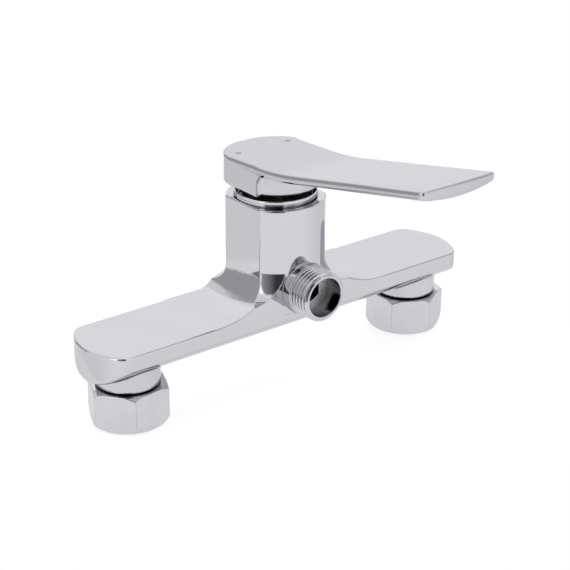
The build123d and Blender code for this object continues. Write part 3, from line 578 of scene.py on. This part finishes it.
# Grub screw and its plug: a blackened steel screw with a hexagon socket clamps the lever on the spindle from
# behind, and a grey moulded plug covers its hole.
black_steel = turned(
    speckled("black_steel", (0.05, 0.05, 0.052), (0.11, 0.11, 0.115), 1 * mm, (0.3, 0.45), 0.003 * mm, metal=1.0),
    "Y", 0.7 * mm, 0.02 * mm,
)
dress("grub_screw", black_steel)
plug_acetal = speckled("plug_acetal", (0.40, 0.40, 0.41), (0.50, 0.50, 0.51), 0.7 * mm, (0.3, 0.42), 0.006 * mm)
dress("grub_plug", plug_acetal)


# Studio: the mixer stands on a small pale disc in a white cloth tent. The tent is open and dark where the camera
# stands, and grey at the back on the left and at the right. It is brighter in a strip beside the opening, and a
# little brighter along the front and behind on the right.
floor_radius = 0.14
floor_around = 96
floor_drop = 0.2 * mm
card_grey = 0.3
card_roughness = 0.9
glow_from_y = -0.08
glow_to_y = -0.14
glow_inside = 0.8
glow_outside = 0.88
bpy.ops.mesh.primitive_circle_add(
    vertices=floor_around, radius=floor_radius, fill_type="NGON", location=(0, 0, -floor_drop)
)
floor = bpy.context.object
floor.name = "floor"
pale_card = bpy.data.materials.new("pale_card")
pale_card.use_nodes = True
card = pale_card.node_tree.nodes["Principled BSDF"]
card.inputs["Base Color"].default_value = (card_grey, card_grey, card_grey, 1.0)
card.inputs["Roughness"].default_value = card_roughness
card.inputs["Emission Color"].default_value = (1.0, 1.0, 1.0, 1.0)
glow = pale_card.node_tree.nodes.new("ShaderNodeMapRange")
glow.inputs["From Min"].default_value = glow_from_y
glow.inputs["From Max"].default_value = glow_to_y
glow.inputs["To Min"].default_value = glow_inside
glow.inputs["To Max"].default_value = glow_outside
spread = pale_card.node_tree.nodes.new("ShaderNodeTexCoord")
across = pale_card.node_tree.nodes.new("ShaderNodeSeparateXYZ")
pale_card.node_tree.links.new(spread.outputs["Object"], across.inputs[0])
pale_card.node_tree.links.new(across.outputs["Y"], glow.inputs["Value"])
pale_card.node_tree.links.new(glow.outputs["Result"], card.inputs["Emission Strength"])
floor.data.materials.append(pale_card)

tent = bpy.data.worlds.new("tent")
bpy.context.scene.world = tent
tent.use_nodes = True
cloth = tent.node_tree
direction = cloth.nodes.new("ShaderNodeTexCoord")
way = cloth.nodes.new("ShaderNodeSeparateXYZ")
cloth.links.new(direction.outputs["Generated"], way.inputs[0])
toward_x, toward_y, toward_z = way.outputs
# degrees round from the front, and degrees up
heading = worked(cloth, "MULTIPLY", worked(
    cloth, "ARCTAN2", toward_x, worked(cloth, "MULTIPLY", toward_y, -1.0)), math.degrees(1))
height = worked(cloth, "MULTIPLY", worked(cloth, "ARCSINE", toward_z), math.degrees(1))


def between(value, low, low_soft, high, high_soft):
    """1 between two limits and 0 beyond them, with its own softness, in degrees, at each limit."""
    up = worked(cloth, "ADD", worked(cloth, "DIVIDE", worked(cloth, "SUBTRACT", value, low), low_soft), 0.5, clamp=True)
    down = worked(
        cloth, "ADD", worked(cloth, "DIVIDE", worked(cloth, "SUBTRACT", high, value), high_soft), 0.5, clamp=True)
    return worked(cloth, "MULTIPLY", up, down)


def darkened(light, patch, level):
    """The tent's brightness with a patch brought down to a share of it."""
    return worked(cloth, "MULTIPLY", light, worked(
        cloth, "SUBTRACT", 1.0, worked(cloth, "MULTIPLY", patch, 1.0 - level)))


# how bright each patch is: a share of the tent's white where it is darker, an addition to it where it is brighter
opening_level = 0.36
deep_level = 0.14
left_wall_level = 0.5
shade_level = 0.6
lamp_gain = 0.6
front_gain = 0.15
window_gain = 0.24

opening = worked(cloth, "MULTIPLY", between(heading, -69, 3, -17, 4), between(height, -18, 3, 66, 10))
deep = worked(cloth, "MULTIPLY", opening, between(heading, -52, 30, -12, 20))
left_wall = worked(cloth, "MULTIPLY", between(heading, -190, 10, -131, 8), between(height, -18, 3, 29, 8))
shade = worked(cloth, "MULTIPLY", between(heading, 44, 12, 84, 12), between(height, 8, 10, 66, 10))
lamp = worked(cloth, "MULTIPLY", between(heading, -83, 4, -70, 3), between(height, -14, 4, 60, 10))
front = worked(cloth, "MULTIPLY", between(heading, -95, 30, 50, 50), front_gain)
window = worked(cloth, "MULTIPLY", between(heading, 118, 20, 176, 8), window_gain)
brightness = worked(cloth, "ADD", worked(cloth, "ADD", front, window), 1.0)
brightness = darkened(brightness, opening, opening_level)
brightness = darkened(brightness, deep, deep_level)
brightness = darkened(brightness, left_wall, left_wall_level)
brightness = darkened(brightness, shade, shade_level)
brightness = worked(cloth, "ADD", brightness, worked(cloth, "MULTIPLY", lamp, lamp_gain))
ray = cloth.nodes.new("ShaderNodeLightPath")
seen = cloth.nodes.new("ShaderNodeMix")
seen.data_type = "FLOAT"
cloth.links.new(ray.outputs["Is Camera Ray"], seen.inputs["Factor"])
cloth.links.new(brightness, seen.inputs["A"])
seen.inputs["B"].default_value = 1.0
cloth.links.new(seen.outputs["Result"], cloth.nodes["Background"].inputs["Strength"])
cloth.nodes["Background"].inputs["Color"].default_value = (1.0, 1.0, 1.0, 1.0)
bpy.context.scene.view_settings.view_transform = "Standard"


# Camera: at the photograph's viewing angle, in front, to the left and above. Its place, lens and shift were fitted to
# the mixer's outline in the photograph, taking the inlets as 150 mm apart, the nuts as about 30 mm and the hose
# thread as 20.96 mm.
camera_turn = math.radians(-38.755)
camera_rise = math.radians(23.946)
camera_roll = math.radians(0.408)
camera_distance = 0.68525
camera_target = Vector((-0.000824, 0.0, 0.035245))
photo_side = 570.0
focal_pixels = 1629.8
optical_axis_pixel = (273.42, 291.75)
sensor_width = 36.0

back = Vector((
    math.sin(camera_turn) * math.cos(camera_rise),
    -math.cos(camera_turn) * math.cos(camera_rise),
    math.sin(camera_rise),
))
level = Vector((math.cos(camera_turn), math.sin(camera_turn), 0.0))
upright = back.cross(level)
right = math.cos(camera_roll) * level + math.sin(camera_roll) * upright
up = math.cos(camera_roll) * upright - math.sin(camera_roll) * level
camera = bpy.data.objects.new("camera", bpy.data.cameras.new("camera"))
bpy.context.scene.collection.objects.link(camera)
camera.matrix_world = Matrix.Translation(camera_target + camera_distance * back) @ Matrix(
    (right, up, back)
).transposed().to_4x4()
camera.data.sensor_width = sensor_width
camera.data.sensor_fit = "HORIZONTAL"
camera.data.lens = focal_pixels / photo_side * sensor_width
camera.data.shift_x = (photo_side / 2 - optical_axis_pixel[0]) / photo_side
camera.data.shift_y = (optical_axis_pixel[1] - photo_side / 2) / photo_side
bpy.context.scene.camera = camera
